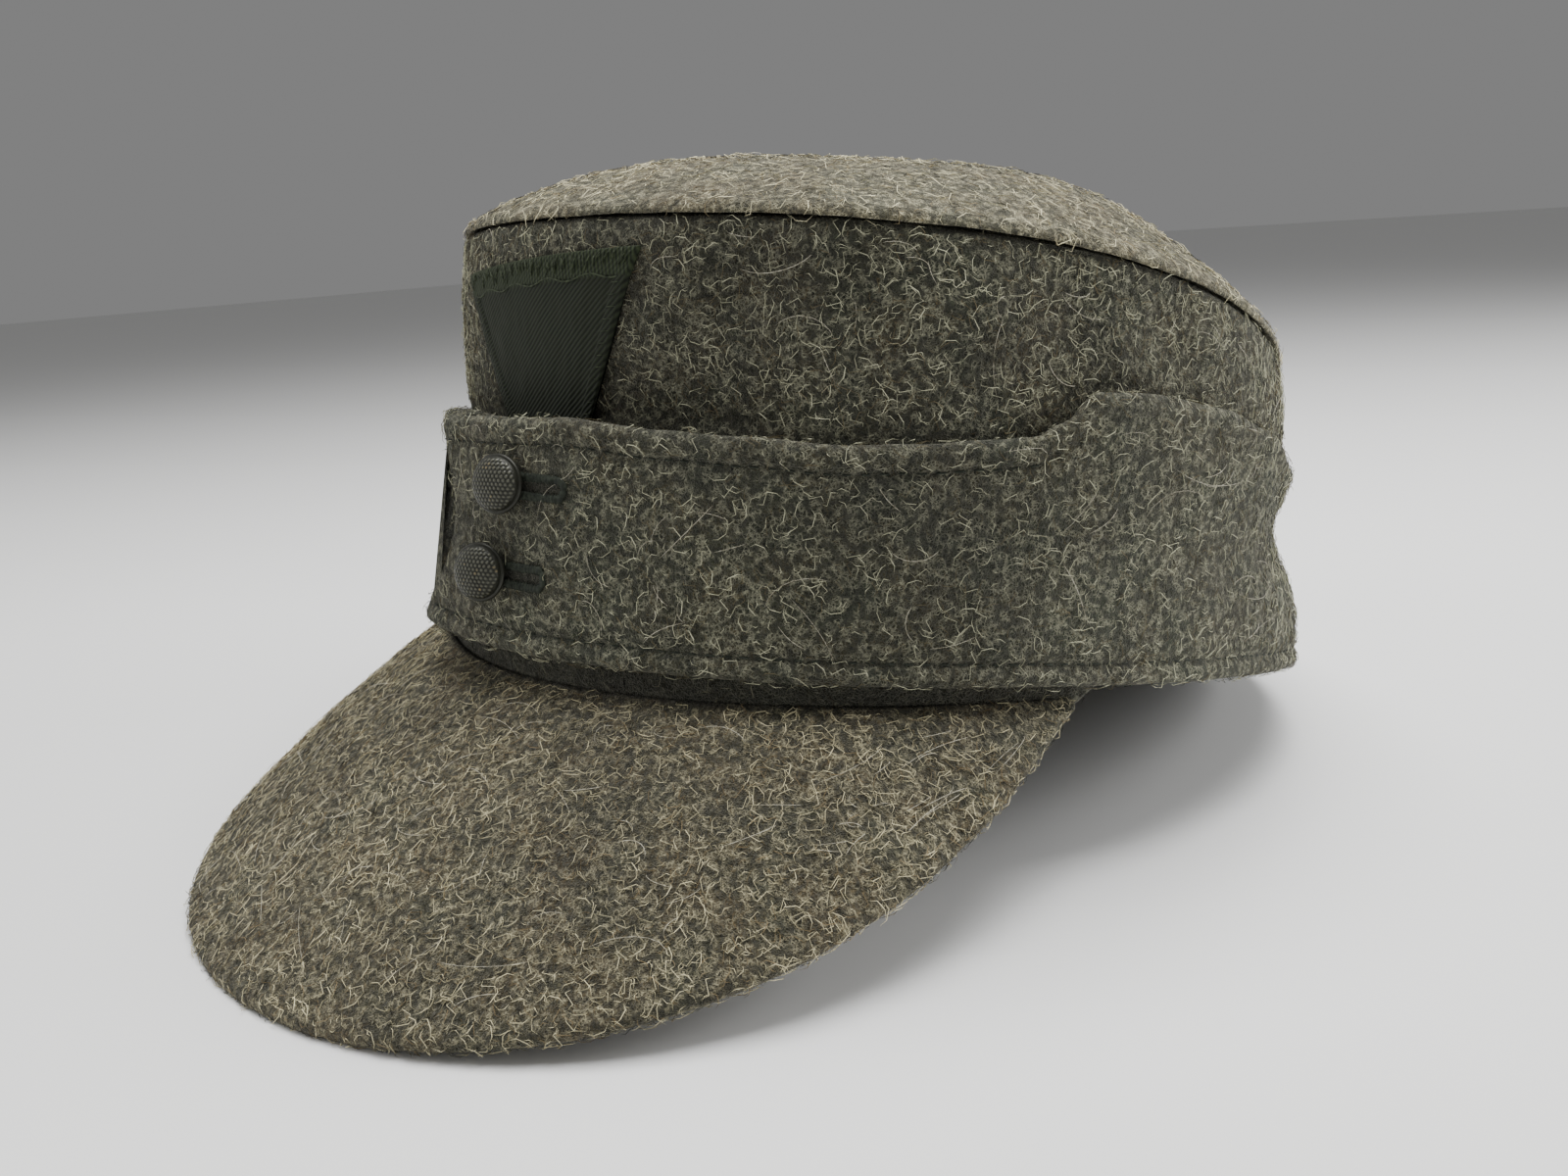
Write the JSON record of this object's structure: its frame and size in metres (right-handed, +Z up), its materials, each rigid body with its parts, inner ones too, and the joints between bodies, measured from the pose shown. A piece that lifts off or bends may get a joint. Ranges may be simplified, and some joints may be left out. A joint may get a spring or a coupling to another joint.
{
  "type": "field cap",
  "caption": "Wool field cap with a domed oval top, a high turn-up buttoned at the front and a long sewn cloth peak, resting on a surface.",
  "frame": {"origin": "under the middle of the cap's bounding box, on the surface it rests on", "axes": "+Z up, the front and the peak towards -Y, the wearer's left towards +X"},
  "size_m": [0.191, 0.2642, 0.134],
  "materials": {
    "wool_body": "milled wool cloth, brown and green melange",
    "wool_turn_up": "milled wool cloth, green melange",
    "wool_peak": "milled wool cloth, brown melange",
    "patch_cloth": "woven twill",
    "button_metal": "pebbled, grey-green paint worn on the high spots",
    "thread": "whipped buttonhole thread"
  },
  "bodies": {
    "root": {"crown_side": "wool_body", "crown_top": "wool_body", "turn_up": "wool_turn_up", "peak": "wool_peak", "badge_patch": "patch_cloth", "button_upper": "button_metal", "button_lower": "button_metal", "buttonhole_upper": "thread", "buttonhole_lower": "thread"}
  },
  "joints": []
}
